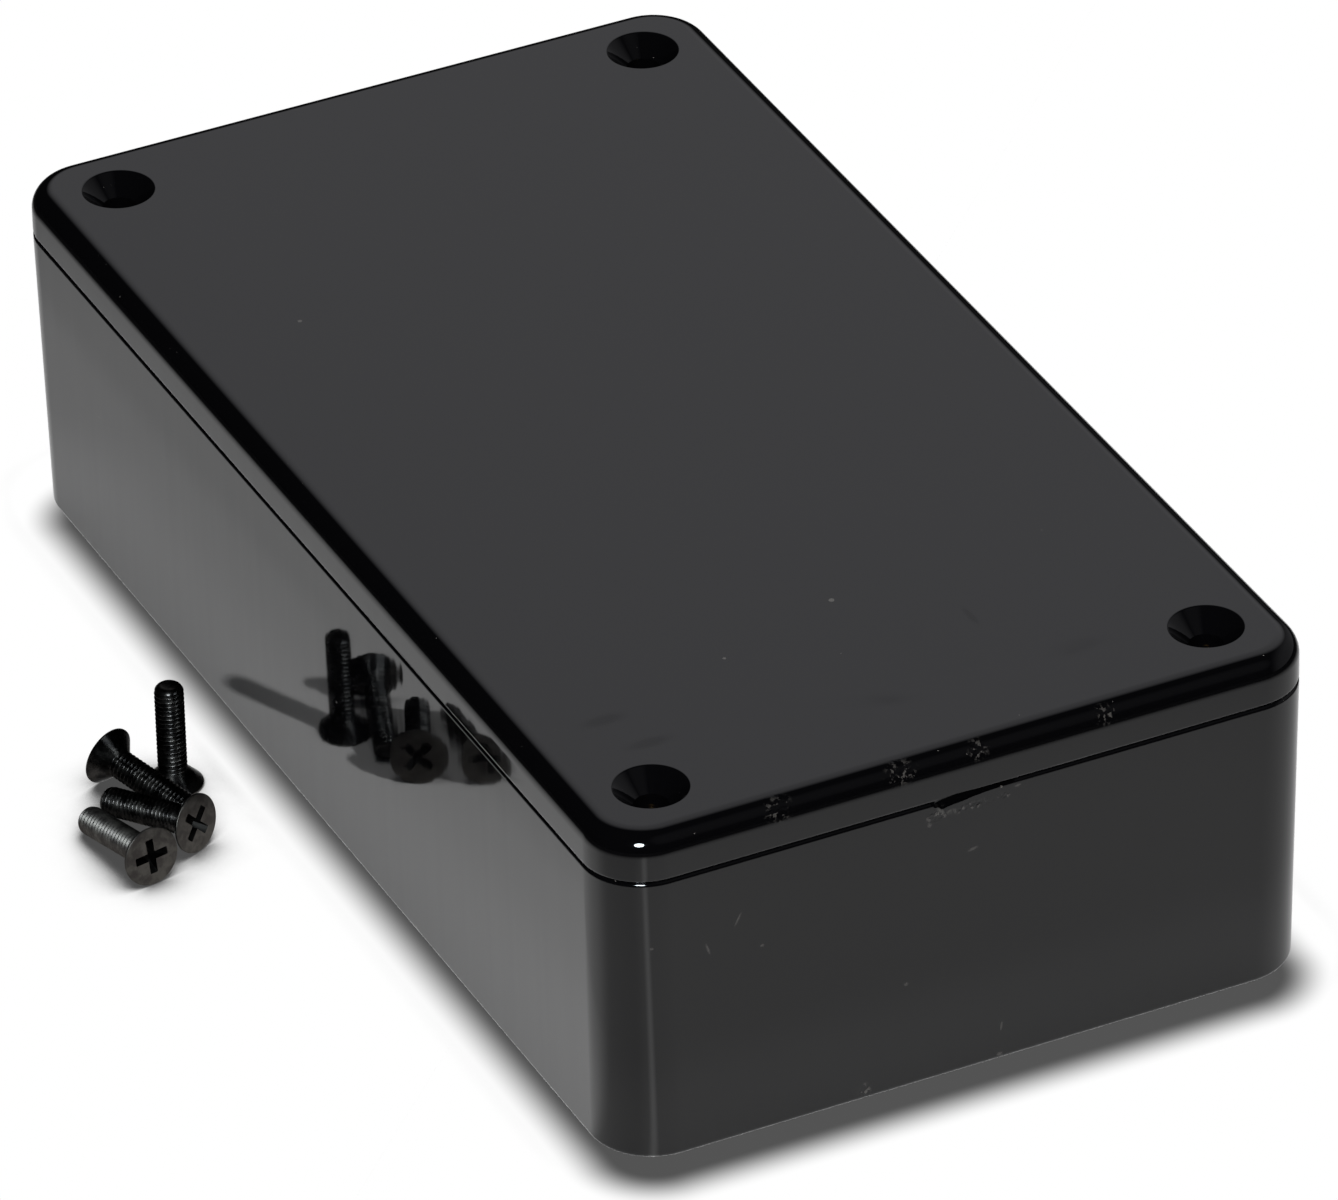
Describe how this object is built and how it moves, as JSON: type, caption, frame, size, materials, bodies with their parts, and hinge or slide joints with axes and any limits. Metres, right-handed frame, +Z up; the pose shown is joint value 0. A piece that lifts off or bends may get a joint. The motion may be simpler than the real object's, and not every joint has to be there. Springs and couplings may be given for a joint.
{
  "type": "plastic project box",
  "caption": "Oblong moulded plastic enclosure with a lift-off lid, countersunk corner holes, inner screw posts, card guides and its loose lid screws beside it.",
  "frame": {"origin": "middle of the base's flat underside, on the surface that the box stands on", "axes": "+Z up through the lid, +Y along the box's length, the loose screws lie on the -X side and the nicked short wall faces -Y"},
  "size_m": [0.0978, 0.14, 0.0371],
  "materials": {
    "housing": "glossy black moulded",
    "insert": "turned brass",
    "screw": "black finished steel, satin"
  },
  "bodies": {
    "base": {"base": "housing", "insert_left_near": "insert", "insert_left_far": "insert", "insert_right_near": "insert", "insert_right_far": "insert", "screw_standing": "screw", "screw_front": "screw", "screw_back": "screw", "screw_far": "screw"},
    "lid": {"lid": "housing"}
  },
  "joints": [
    {"name": "lid_lift", "type": "slide", "parent": "base", "child": "lid", "axis": [0, 0, 1], "range_m": [0, 0.05]}
  ]
}
